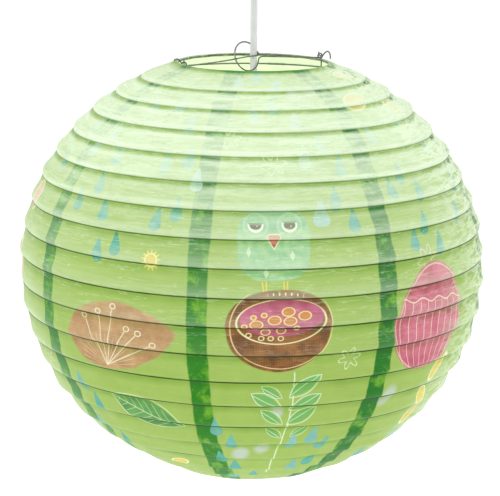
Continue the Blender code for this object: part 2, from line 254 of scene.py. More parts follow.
# every hard finish: colour, the colour that clouds and stains it, and how it shines and grains
finishes = {
    "wire_steel": {"colour": (132, 134, 130), "stain": (74, 74, 70), "cloud": 140, "shine": 0.3,
                   "metal": 1.0, "grain": 1600, "depth": 0.02, "coat": 0.0},
    "flex_sheath": {"colour": (224, 224, 228), "stain": (212, 212, 217), "cloud": 50, "shine": 0.38,
                    "metal": 0.0, "grain": 700, "depth": 0.03, "coat": 0.2},
    "white_plastic": {"colour": (236, 235, 230), "stain": (222, 219, 210), "cloud": 45, "shine": 0.3,
                      "metal": 0.0, "grain": 1400, "depth": 0.02, "coat": 0.3},
    "cream_plastic": {"colour": (226, 216, 190), "stain": (204, 190, 158), "cloud": 90, "shine": 0.45,
                      "metal": 0.0, "grain": 1200, "depth": 0.03, "coat": 0.0},
    "brass": {"colour": (206, 168, 92), "stain": (142, 108, 56), "cloud": 160, "shine": 0.28,
              "metal": 1.0, "grain": 1500, "depth": 0.02, "coat": 0.0},
    "solder": {"colour": (176, 176, 172), "stain": (128, 128, 124), "cloud": 260, "shine": 0.36,
               "metal": 1.0, "grain": 900, "depth": 0.06, "coat": 0.0},
    "black_glass": {"colour": (18, 18, 20), "stain": (34, 32, 30), "cloud": 120, "shine": 0.16,
                    "metal": 0.0, "grain": 600, "depth": 0.02, "coat": 0.6},
    "opal_glass": {"colour": (246, 244, 238), "stain": (236, 233, 224), "cloud": 22, "shine": 0.14,
                   "metal": 0.0, "grain": 300, "depth": 0.01, "coat": 0.8},
}


def hardFinish(slot):
    # colour clouds, stains where hands and tools have been, roughness specks and a fine grain
    wanted = finishes[slot]
    material, tree, shader, start = startMaterial("finish_" + slot)
    place = start.node("ShaderNodeTexCoord", output="Object")
    cloud = noiseOf(start, place, wanted["cloud"], 4, 0.6)
    speck = noiseOf(start, place, wanted["grain"], 2)
    stain = cloud.above(0.58, 0.14) * 0.8 + speck * 0.2
    feed(tree, shader, "Base Color", stain.over(paint(*wanted["colour"]), paint(*wanted["stain"])))
    feed(tree, shader, "Roughness", speck * 0.14 + cloud * 0.12 + (wanted["shine"] - 0.12))
    shader.inputs["Metallic"].default_value = wanted["metal"]
    shader.inputs["Coat Weight"].default_value = wanted["coat"]
    shader.inputs["Coat Roughness"].default_value = 0.12
    height = {"Height": speck + cloud * 0.6, "Strength": 0.6, "Distance": wanted["depth"] * mm}
    feed(tree, shader, "Normal", start.node("ShaderNodeBump", inputs=height))
    return material


paper = {"around": 512, "rowsPerPanel": 9, "hemRows": 5, "hemRoll": 215, "lap": 1.6, "clear": 0.45 * mm,
         "seam": -12.4, "gore": 45, "puff": 2.1 * mm, "crease": 0.34 * mm, "fold": 0.5 * mm,
         "hemOut": 0.45 * mm, "tangent": 68, "chartLift": 12}


def paperStations():
    # where the paper leaves the top ring, meets each hoop and reaches the bottom ring, as (radius, height)
    reach = ringWire + paper["hemOut"]
    lean = math.radians(paper["tangent"])
    stations = [(neckRadius + reach * math.cos(lean), topZ + reach * math.sin(lean))]
    for name in ribNames:
        low, high = boxOf(name)
        stations.append((high.x + paper["clear"], (low.z + high.z) / 2))
    stations.append((neckRadius + reach * math.cos(lean), bottomZ - reach * math.sin(lean)))
    return np.array(stations)


stations = paperStations()
panels = len(stations) - 1
arcs = np.concatenate([[0], np.cumsum(np.hypot(*np.diff(stations, axis=0).T))])
hemArc = math.radians(paper["hemRoll"]) * (ringWire + paper["hemOut"])


def arcAt(panel):
    # millimetres of paper from the top ring down to a panel number
    return float(np.interp(panel, range(panels + 1), arcs)) / mm


# drops fall in two belts: (degrees round, panel, lean, paleness)
drops = [(-50.5, 3.3, -11, .8), (-43.5, 4.2, -14, .2), (-55, 4.0, 4, .8), (-45, 5.3, -14, .1),
         (-50.5, 6.0, -5, .1), (-40.5, 6.2, -11, .1), (-24, 6.3, 5, .1), (-34.5, 7.3, -5, 0),
         (-39.5, 7.6, -3, .1), (-25.5, 4.3, -3, .3), (-18.5, 4.0, 4, .3), (-15, 4.8, 2, .9),
         (-19, 5.9, 4, .1), (-8, .5, -6, .5), (2.5, .2, 4, .3), (13, .6, 12, .5),
         (8.5, 1.6, 9, .4), (.5, 2.1, -5, .5), (15.5, 2.4, 8, .7), (22, 3.4, 17, .4),
         (15.5, 3.9, 4, 1), (17, 6.0, 3, .7), (26, 4.3, 10, .2), (22, 5.5, 9, .1),
         (26, 6.3, 4, .1), (18, 6.0, -2, .7), (45, 4.8, 10, .1), (40, 5.3, 5, .1),
         (50, 5.5, 6, .1), (48, 6.7, 12, 0), (43.5, 7.2, 10, .1), (52.5, 7.5, 12, 0),
         (-50.5, 12.7, -6, .2), (-47, 13.5, -5, .1), (-53, 14.7, -4, .2), (-48, 15.6, -6, .1),
         (-9.5, 13.9, 0, .2), (-5.5, 14.7, 2, .2), (-10, 15.8, -3, .1), (-5.5, 16.5, 2, .1),
         (-9.5, 18.1, 0, .2), (2, 17.7, 2, .1), (13, 14.7, 6, .4), (19, 14.4, 8, .3),
         (23.5, 14.9, 10, .2), (23, 16.1, 8, .1), (17, 16.5, 5, .3), (60, 2.6, 14, .3),
         (66, 4.0, 14, .2), (70, 5.6, 16, .1), (64, 6.6, 14, .2), (-64, 3.2, -8, .5),
         (-68, 4.8, -12, .2), (-76, 3.6, -12, .4), (60, 15.4, 10, .2), (50, 16.4, 8, .2),
         (68, 16.8, 12, .1), (-66, 15.0, -8, .2), (-80, 14.0, -10, .2), (-72, 16.6, -8, .1),
         (-30, 1.8, -4, .6), (-42, 2.0, -6, .5), (42, 3.2, 10, .5), (-22, 2.6, 0, .6),
         (-86, 5.2, -4, .2), (-84, 2.0, -8, .5)]
dropShape = {"belly": 5.4, "tip": 0.4, "length": 16.5}


def dropField(azimuth, arc, girth):
    # distance to the nearest drop's edge in millimetres, and how pale that drop is
    best = np.full(azimuth.shape, 40.0)
    pale = np.zeros(azimuth.shape)
    slope = (dropShape["belly"] - dropShape["tip"]) / dropShape["length"]
    rise = math.sqrt(1 - slope * slope)
    for degrees, panel, lean, tone in drops:
        away = (azimuth - degrees + 90) % 180 - 90
        across = np.radians(away) * girth
        down = arc - arcAt(panel)
        near = np.hypot(across, down) < 30
        tilt = math.radians(lean)
        x = np.abs(across[near] * math.cos(tilt) + down[near] * math.sin(tilt))
        y = across[near] * math.sin(tilt) - down[near] * math.cos(tilt) + dropShape["length"] / 2
        side = y * rise - x * slope
        body = np.hypot(x, y) - dropShape["belly"]
        flank = x * rise + y * slope - dropShape["belly"]
        point = np.hypot(x, y - dropShape["length"]) - dropShape["tip"]
        gap = np.where(side < 0, body, np.where(side > rise * dropShape["length"], point, flank))
        closer = gap < best[near]
        spots = np.flatnonzero(near)[closer]
        best.flat[spots] = gap[closer]
        pale.flat[spots] = tone
    return best, pale


def wrinkles(azimuth, panel, share, girth, arc):
    # how far the paper stands out from the straight line between two hoops: it bags most just above a hoop
    out = np.zeros(azimuth.shape)
    half = paper["gore"] / 2
    seamAway = np.abs((azimuth - paper["seam"] + half) % paper["gore"] - half)
    atSeam = np.exp(-(seamAway / 7) ** 2)
    rightSide = np.exp(-((azimuth - 84) / 30) ** 2)
    for index in np.ndindex(azimuth.shape):
        turn = math.radians(azimuth[index])
        x, y = math.cos(turn), math.sin(turn)
        part = share[index]
        band = panel[index]
        level = arc[index] / 1000
        here = girth[index] / 1000
        tuck = 1 - (2 * part - 1) ** 8
        loose = 0.95 + 0.8 * noise.noise((x * 2.6, y * 2.6, band * 1.7)) + 0.35 * rightSide[index]
        bag = part ** 2.2 * (1 - part ** 8) * 1.94
        lateral = 16 * here
        ridge = noise.noise((x * lateral, y * lateral, level * 170 + x * 5))
        ridge = (1 - abs(ridge) * 2.4) * (0.25 + 1.2 * atSeam[index] + 0.9 * rightSide[index])
        slant = 0.5 * level + 0.35 * here * turn
        folds = noise.noise((x * 26 * here + slant * 30, y * 26 * here, level * 60 - slant * 22))
        folds *= 0.6 + 1.4 * rightSide[index]
        bagging = paper["puff"] * max(loose, 0.25) * bag
        out[index] = bagging + tuck * (paper["crease"] * ridge + paper["fold"] * folds)
    return out


def buildPaper():
    hem = paper["hemRows"]
    rows = paper["rowsPerPanel"]
    between = rows * panels
    bpy.ops.mesh.primitive_grid_add(x_subdivisions=paper["around"], y_subdivisions=between + 2 * hem, size=1)
    skin = bpy.context.object
    skin.name = "paperSkin"
    skin.data.name = "paperSkin"
    flat = np.empty(len(skin.data.vertices) * 3)
    skin.data.vertices.foreach_get("co", flat)
    flat = flat.reshape(-1, 3)
    step = np.rint((0.5 - flat[:, 1]) * (between + 2 * hem)).astype(int) - hem
    start = paper["seam"] - 180
    azimuth = start + (flat[:, 0] + 0.5) * (360 + paper["lap"])
    inside = np.clip(step, 0, between)
    band = np.minimum(inside // rows, panels - 1)
    even = (inside - band * rows) / rows
    share = 0.5 * even + 0.25 * (1 - np.cos(np.pi * even))  # rows crowd towards the hoops
    low, high = stations[band], stations[band + 1]
    line = low + (high - low) * share[:, None]
    along = high - low
    along /= np.hypot(*along.T)[:, None]
    arc = (arcs[band] + (arcs[band + 1] - arcs[band]) * share) / mm
    girth = line[:, 0] / mm
    stand = wrinkles(azimuth, band.astype(float), share, girth, arc)
    stand[band == 0] *= 0.4
    stand[band == panels - 1] *= 0.4
    stand += np.clip((azimuth - start - 360) / 0.4, 0, 1) * 0.35 * mm  # the lap lies over the first edge
    radius = line[:, 0] - along[:, 1] * stand
    height = line[:, 1] + along[:, 0] * stand
    # past both ends the paper rolls over the ring's wire and down its inner side
    over = np.where(step < 0, -step, step - between) / hem
    roll = (step < 0) | (step > between)
    angle = np.radians(paper["tangent"] + over * paper["hemRoll"])
    reach = ringWire + paper["hemOut"] * (1 + 0.5 * np.sin(azimuth * 0.31) * over)
    side = np.where(step < 0, 1, -1)
    rolledRadius = neckRadius + reach * np.cos(angle)
    rolledHeight = np.where(step < 0, topZ, bottomZ) + side * reach * np.sin(angle)
    radius = np.where(roll, rolledRadius, radius)
    height = np.where(roll, rolledHeight, height)
    arc = arc - np.where(roll, over * side * hemArc / mm, 0)
    turn = np.radians(azimuth)
    placed = np.stack([radius * np.sin(turn), -radius * np.cos(turn), height], axis=1)
    skin.data.vertices.foreach_set("co", placed.ravel())
    gap, pale = dropField(azimuth, arc, girth)
    level = band + share - np.where(roll, over * side * 0.2, 0)
    for name, values in (("girth", girth), ("drop", gap), ("dropPale", pale), ("panel", level)):
        skin.data.attributes.new(name, "FLOAT", "POINT").data.foreach_set("value", values.astype(np.float32))
    corners = np.empty(len(skin.data.loops), int)
    skin.data.loops.foreach_get("vertex_index", corners)
    chart = np.stack([azimuth[corners] / 360, (arc[corners] + paper["chartLift"]) / 500], axis=1)
    skin.data.uv_layers[0].name = "print"
    skin.data.uv_layers["print"].data.foreach_set("uv", chart.ravel())
    skin.data.update()
    bpy.ops.object.mode_set(mode="EDIT")
    bpy.ops.mesh.select_all(action="SELECT")
    bpy.ops.mesh.normals_make_consistent(inside=False)
    bpy.ops.object.mode_set(mode="OBJECT")
    bpy.ops.object.shade_smooth()
    skin.data.materials.append(printedPaper())
    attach(skin, "shade")
    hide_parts("paper_skin")
    gores = float(np.sum(np.diff(arcs) * math.pi * (stations[1:, 0] + stations[:-1, 0])))
    gores += 2 * hemArc * 2 * math.pi * neckRadius
    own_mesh(skin)


class Motif:
    # local millimetres round one printed shape, turned by lean degrees
    def __init__(self, chart, degrees, panel, lean=0.0):
        across = (chart["azimuth"] - degrees) * (math.pi / 180) * chart["girth"]
        down = chart["arc"] - arcAt(panel)
        self.x = across
        self.y = 0 - down
        if lean:
            turn = math.radians(lean)
            self.x = across * math.cos(turn) + down * math.sin(turn)
            self.y = across * math.sin(turn) - down * math.cos(turn)

    def round(self, wide, tall, x=0.0, y=0.0):
        # 1 on the rim of an ellipse, 0 in its middle
        first = (self.x - x) / wide
        second = (self.y - y) / tall
        return (first * first + second * second) ** 0.5

    def egg(self, wide, tall, across=2.0, up=2.0, x=0.0, y=0.0):
        # the same with other powers: higher is squarer, lower is more pointed
        return ((self.x - x).abs() / wide) ** across + ((self.y - y).abs() / tall) ** up

    def angle(self, x=0.0, y=0.0):
        return self.x.maths("ARCTAN2", self.y - y, self.x - x)

    def line(self, x1, y1, x2, y2, wide):
        # 1 along a straight line between two places
        length = math.hypot(x2 - x1, y2 - y1)
        ux, uy = (x2 - x1) / length, (y2 - y1) / length
        along = (self.x - x1) * ux + (self.y - y1) * uy
        aside = ((self.x - x1) * uy - (self.y - y1) * ux).abs()
        return aside.below(wide / 2, 0.3) * (along - length / 2).abs().below(length / 2, 0.3)


# where each printed picture sits: degrees round, panel down, and its lean in degrees
places = {"sun": (-24, 7.86), "owl": (5.3, 7.02), "bowl": (6.5, 10.0, -3), "stem": (9.7, 14.6, 2.5),
          "flower": (-33.2, 10.65, -8), "flowerBase": (-37.0, 11.78), "leaf": (-29.4, 13.65, -66),
          "bulb": (48.4, 10.3, 4)}


def printStripes(chart, ground):
    # a stem runs down each join between gores
    start = chart["azimuth"]
    turn = chart["turn"]
    lean = turn.above(10, 4) * turn.below(60, 4) * (chart["panel"].below(3.6, 1.6) * 2.2 + 0.9)
    half = paper["gore"] / 2
    seam = start.maths("WRAP", turn - paper["seam"] - lean, half, -half) * (math.pi / 180) * chart["girth"]
    wave = noiseOf(start, chart["spot"], 26, 3)
    edge = seam.abs() + (wave - 0.5) * 4.0
    blotch = noiseOf(start, chart["spot"], 42, 5, 0.7)
    dark = turn.above(10, 4).over(paint(34, 124, 6), paint(16, 114, 12))
    green = blotch.above(0.57, 0.06).over(dark, paint(104, 168, 24))
    green = (blotch.below(0.4, 0.05) * 0.6).over(green, paint(26, 124, 22))
    return (edge.below(8.3, 0.6)).over(ground, green)


def printDrops(chart, ground):
    start = chart["azimuth"]
    gap = start.node("ShaderNodeAttribute", {"attribute_name": "drop"}, output="Fac")
    pale = start.node("ShaderNodeAttribute", {"attribute_name": "dropPale"}, output="Fac")
    wash = noiseOf(start, chart["spot"], 90, 2)
    teal = wash.above(0.5, 0.2).over(paint(34, 150, 128), paint(66, 170, 152))
    colour = pale.over(teal, paint(186, 216, 236))
    return (gap.below(0.0, 0.3) * (1 - pale * 0.25)).over(ground, colour)


def printSun(chart, ground):
    sun = Motif(chart, *places["sun"])
    reach = sun.round(1, 1)
    rays = (sun.angle() * 13).sin() * 1.7 + 6.9
    ground = (reach - rays).below(0, 0.4).over(ground, paint(226, 208, 66))
    ground = (reach - 5.2).abs().below(0.45, 0.25).over(ground, paint(244, 240, 190))
    return reach.below(4.3, 0.3).over(ground, paint(232, 196, 52))


def printOwl(chart, ground):
    owl = Motif(chart, *places["owl"])
    body = owl.egg(29, 28.5, 3.2, 3.0, y=-3)
    coat = noiseOf(chart["azimuth"], chart["spot"], 150, 3).above(0.5, 0.15)
    coat = coat.over(paint(132, 190, 148), paint(164, 208, 158))
    ground = (body.below(1, 0.07) * 0.92).over(ground, coat)
    brow = owl.egg(29, 10, 3.6, 1.3, y=17)
    ground = (brow.below(1, 0.1) * body.below(1, 0.05) * 0.45).over(ground, paint(104, 172, 140))
    for x, y, wide in ((-20, -9, 2.0), (14.5, -12, 2.2), (-6.5, -25.5, 2.2)):
        diamond = (owl.x - x).abs() / wide + (owl.y - y).abs() / 4.2
        ground = (diamond.below(1, 0.12) * 0.75).over(ground, paint(222, 236, 214))
    for side, x in ((-1, -14.2), (1, 12.6)):
        eye = owl.round(1, 1, x, 12.4)
        ground = ((eye - 9.6).abs().below(0.4, 0.3) * 0.6).over(ground, paint(206, 228, 200))
        ground = ((eye - 8.2).abs().below(0.3, 0.3) * 0.35).over(ground, paint(206, 228, 200))
        lid = 14.2 + side * 0.6
        ground = (eye.below(6.3, 0.35) * owl.y.below(lid, 0.3)).over(ground, paint(236, 242, 228))
        pupil = owl.round(1, 0.86, x, 12.6).below(4.7, 0.3) * owl.y.below(13.8 + side * 0.6, 0.3)
        ground = pupil.over(ground, paint(72, 54, 36))
        ground = owl.line(x - 5.6, lid, x + 5.6, lid, 0.8).over(ground, paint(60, 92, 60))
        ground = owl.round(1, 1, x + 1.2, 11.6).below(0.7, 0.3).over(ground, paint(190, 180, 160))
    beak = (owl.x.abs() - (owl.y + 5.8) * 0.62).most(owl.y - 4.2).most(owl.x.abs() + owl.y * 0.5 - 6.1)
    ground = beak.below(0.9, 0.35).over(ground, paint(240, 236, 220))
    ground = beak.below(0.0, 0.35).over(ground, paint(222, 84, 84))
    ground = (beak.below(0, 0.3) * owl.y.below(-2.6, 0.6)).over(ground, paint(150, 40, 46))
    for x1, x2 in ((-9.6, -8.2), (-6.4, -6.4), (7.4, 8.2), (10.4, 10.0)):
        ground = owl.line(x1, -32, x2, -43, 1.3).over(ground, paint(222, 200, 70))
    return ground


def printBowl(chart, ground):
    bowl = Motif(chart, *places["bowl"])
    upper = bowl.egg(43, 31, 2.3, 2.2)
    lower = bowl.egg(42.5, 38, 1.8, 2.1)
    side = bowl.y.above(0, 0.01).over(lower, upper)
    side = side.node("ShaderNodeSeparateColor", inputs={0: side})
    canvas = (bowl.x * 3.1).sin() * 0.5 + (bowl.y * 3.1).sin() * 0.5
    grain = noiseOf(chart["azimuth"], chart["spot"], 75, 5, 0.65) + canvas * 0.06
    brown = grain.above(0.5, 0.13).over(paint(104, 50, 16), paint(152, 82, 28))
    ground = side.below(1.0, 0.03).over(ground, brown)
    seamLine = bowl.egg(43, 37, 1.85, 2.15, 2.2, 0.5)
    stitch = (seamLine - 0.93).abs().below(0.018, 0.016) * side.below(1.1, 0.03)
    ground = stitch.over(ground, paint(232, 204, 150))
    rim = bowl.round(36, 18.2, 2.2, 5.2)
    ground = (rim - 1).abs().below(0.022, 0.014).over(ground, paint(246, 232, 190))
    filling = noiseOf(chart["azimuth"], chart["spot"], 120, 3).above(0.5, 0.15)
    filling = filling.over(paint(176, 30, 110), paint(196, 54, 134))
    ground = bowl.round(34, 15, 2.6, 8.0).below(1.0, 0.02).over(ground, filling)
    large = [(-18, 4), (-3.5, 7), (8, 13), (9, 5.5), (21, 9)]
    middling = [(1.5, -2), (-11, -2.5)]
    small = [(-20, 10), (-11.5, 11.5), (-27.5, 3), (14, -0.5), (-24.5, -4.5), (-14.5, -7.5), (-7, -8),
             (1, -8.5)]
    nearest = None
    for wide, tall, seeds in ((5.0, 3.4, large), (3.6, 2.5, middling), (2.1, 1.7, small)):
        for x, y in seeds:
            seed = bowl.round(1, tall / wide, x, y) - wide
            nearest = seed if nearest is None else nearest.least(seed)
    orange = nearest.below(0.9, 0.4) * bowl.y.above(-1.5, 3)
    ground = orange.over(ground, paint(206, 106, 40))
    ground = nearest.abs().below(0.42, 0.3).over(ground, paint(248, 226, 176))
    ticks = (bowl.x * 1.32).sin().above(0.72, 0.1) * (upper.above(0.72, 0.02) * upper.below(0.86, 0.02))
    ticks = ticks * (bowl.x - 6).abs().below(14, 1) * bowl.y.above(20, 1)
    return ticks.over(ground, paint(240, 220, 176))


def printPlant(chart, ground):
    stem = Motif(chart, *places["stem"])
    middle = (stem.x - (stem.y * 0.045).sin() * 1.8).abs()
    pale = paint(214, 232, 196)
    ground = (middle.below(0.55, 0.3) * stem.y.abs().below(74, 1)).over(ground, pale)
    leaves = [(13.6, 12.1, 47, 1.35), (5.0, 12.4, -57, .85), (3.8, 12.75, -60, 1.2), (14.2, 12.8, 56, 1.25),
              (13.9, 13.4, 52, 1.2), (5.4, 13.5, -50, 1), (14.4, 14.2, 48, .8), (6.4, 14.3, -46, .8)]
    for degrees, panel, lean, size in leaves:
        leaf = Motif(chart, degrees, panel, lean)
        blade = leaf.x.abs() / (4.8 * size) + (leaf.y / (11.5 * size)) * (leaf.y / (11.5 * size))
        rise = (leaf.y + 0.8) / (12 * size)
        outline = (leaf.x - 1.0).abs() / (5.2 * size) + rise * rise
        ground = blade.below(1, 0.08).over(ground, paint(112, 176, 92))
        ground = ((outline - 1).abs().below(0.08, 0.06) * 0.85).over(ground, pale)
        ground = (leaf.x.abs().below(0.35, 0.25) * blade.below(0.85, 0.1) * 0.8).over(ground, pale)
    return ground


def printFlower(chart, ground):
    flower = Motif(chart, *places["flower"])
    blunt = flower.egg(54, 29, 2.4, 2.1)
    sharp = flower.egg(54, 29, 1.5, 1.5)
    body = flower.x.above(4, 14).over(blunt, sharp)
    body = body.node("ShaderNodeSeparateColor", inputs={0: body})
    wave = noiseOf(chart["azimuth"], chart["spot"], 60, 2)
    petal = (body + (wave - 0.5) * 0.16).below(1, 0.04)
    grain = noiseOf(chart["azimuth"], chart["spot"], 64, 5, 0.65).above(0.5, 0.14)
    ground = (petal * 0.92).over(ground, grain.over(paint(176, 112, 84), paint(200, 142, 108)))
    cream = paint(242, 232, 206)
    base = Motif(chart, *places["flowerBase"])
    ring = None
    for x, y in ((-20, 40.5), (-4, 46.6), (11, 52.5), (23, 35), (33.5, 32.4), (46, 24)):
        x, y = x * 1.02, y * 0.99
        length = math.hypot(x, y)
        ground = (base.line(0, 0, x * (1 - 3 / length), y * (1 - 3 / length), 0.75) * 0.9).over(ground, cream)
        tip = base.round(1, 0.8, x, y) - 2.6
        ring = tip if ring is None else ring.least(tip)
    ground = (ring.abs().below(0.45, 0.3)).over(ground, cream)
    fan = base.angle()
    reach = base.round(1, 1)
    rays = (fan * 19).sin().abs().below(0.14, 0.08) * reach.below(27, 3)
    rays = rays * reach.above(3, 1) * base.y.above(0, 1)
    return (rays * petal * 0.7).over(ground, cream)


def printLeaf(chart, ground):
    leaf = Motif(chart, *places["leaf"])
    blade = leaf.x.abs() / 15 + (leaf.y / 33) * (leaf.y / 33)
    shade = noiseOf(chart["azimuth"], chart["spot"], 70, 4).above(0.5, 0.16)
    ground = blade.below(1, 0.03).over(ground, shade.over(paint(74, 140, 72), paint(104, 164, 84)))
    outline = (leaf.x - 1.4).abs() / 15.6 + ((leaf.y - 1) / 34) * ((leaf.y - 1) / 34)
    ground = ((outline - 1.02).abs().below(0.028, 0.024) * 0.9).over(ground, paint(222, 236, 200))
    veins = ((leaf.y - leaf.x.abs() * 0.9) * 0.8).sin().above(0.93, 0.05) * blade.below(0.86, 0.04)
    ground = (veins * 0.8).over(ground, paint(176, 206, 146))
    return (leaf.x.abs().below(0.45, 0.3) * blade.below(0.96, 0.04)).over(ground, paint(190, 216, 160))


def printBulb(chart, ground):
    bulb = Motif(chart, *places["bulb"])
    top = bulb.egg(44, 49, 2.0, 1.35)
    foot = bulb.egg(44, 44, 2.2, 1.8)
    body = bulb.y.above(2, 6).over(foot, top)
    body = body.node("ShaderNodeSeparateColor", inputs={0: body})
    shape = body.below(1, 0.03)
    grain = noiseOf(chart["azimuth"], chart["spot"], 64, 5, 0.65).above(0.5, 0.14)
    ground = shape.over(ground, grain.over(paint(184, 34, 104), paint(214, 72, 140)))
    cream = paint(246, 226, 204)
    # seams of the bud run as meridians from its foot to its tip
    across = bulb.x / ((1 - (bulb.y / 56).abs() ** 2.0).most(0.02) ** 0.75)
    seams = ((across * 0.33).sin().abs().below(0.1, 0.06)) * shape * bulb.y.below(17, 1.5)
    ground = (seams * 0.9).over(ground, cream)
    collar = (bulb.y - 18 - (bulb.x * 0.3).sin() * 1.6).abs().below(0.45, 0.3) * shape
    ground = (collar * 0.9).over(ground, cream)
    return ((body - 0.94).abs().below(0.015, 0.014) * 0.7).over(ground, cream)


def printSmallThings(chart, ground):
    # each oval: degrees round, panel, lean, half width, half height, colour
    ovals = [(-77, 6.6, 20, 9, 12, (232, 170, 176)), (-83, 9.2, -10, 12, 16, (226, 140, 150)),
             (66, .55, 96, 6, 11, (250, 200, 150)), (47.5, 1.8, 66, 8, 12.5, (244, 196, 130)),
             (67, 2.4, 48, 7.5, 12, (238, 186, 70)), (56.5, 12.3, 24, 5, 12, (222, 190, 40)),
             (55.5, 13.5, -30, 5, 11, (226, 196, 48)), (57, 14.4, 38, 5, 11, (218, 184, 40)),
             (-29, 16.7, 70, 4, 8, (224, 196, 70)), (-88, 13.0, 30, 6, 12, (226, 198, 60))]
    for degrees, panel, lean, wide, tall, colour in ovals:
        oval = Motif(chart, degrees, panel, lean).round(wide, tall)
        ground = (oval.below(1.24, 0.06) * 0.85).over(ground, paint(248, 240, 208))
        ground = oval.below(1.0, 0.05).over(ground, paint(*colour))
    patches = [(-3, 15.6, 9), (4, 15.2, 8), (7, 13.3, 7), (38.5, 13, 10), (19, 1.3, 9), (28, 1.1, 8)]
    for degrees, panel, size in patches:
        patch = Motif(chart, degrees, panel, 20).round(size * 0.7, size)
        ground = (patch.below(1, 0.35) * 0.55).over(ground, paint(206, 206, 232))
    blossoms = [(46.5, 8.1, 12, (246, 216, 208)), (-7.5, 3.3, 10, (238, 248, 232)),
                (6, 4.3, 11, (238, 248, 232)), (24, 11.2, 10, (232, 242, 212)),
                (-66, 12.2, 11, (244, 222, 214))]
    for degrees, panel, size, colour in blossoms:
        bloom = Motif(chart, degrees, panel)
        petals = (bloom.angle() * 6).sin() * 0.26 + 0.7
        reach = bloom.round(size, size)
        line = (reach - petals).abs().below(0.05, 0.05)
        ground = (line * 0.75).over(ground, paint(*colour))
        spokes = (bloom.angle() * 3).sin().abs().below(0.12, 0.08) * reach.below(0.75, 0.05)
        ground = (spokes * 0.6).over(ground, paint(*colour))
    return ground


# painted sheen: the gloss of the lights is painted into the paper's colour as a milky paleness; how strong it
# is down the shade, and from one hoop to the next
glossDown = [(0, .58), (.06, .9), (.14, .92), (.24, .86), (.31, .66), (.37, .44), (.42, .32), (.47, .24),
             (.52, .13), (.57, .05), (.62, 0), (1, 0)]
glossAcross = [(0, 0), (.08, .05), (.3, .16), (.55, .34), (.75, .66), (.9, 1), (.965, 1), (1, .1)]
sheen = {"specular": 0.12, "coat": 0.12, "coatRough": 0.24, "coatIndex": 1.6, "innerGlow": 0.3,
         "through": 0.22}


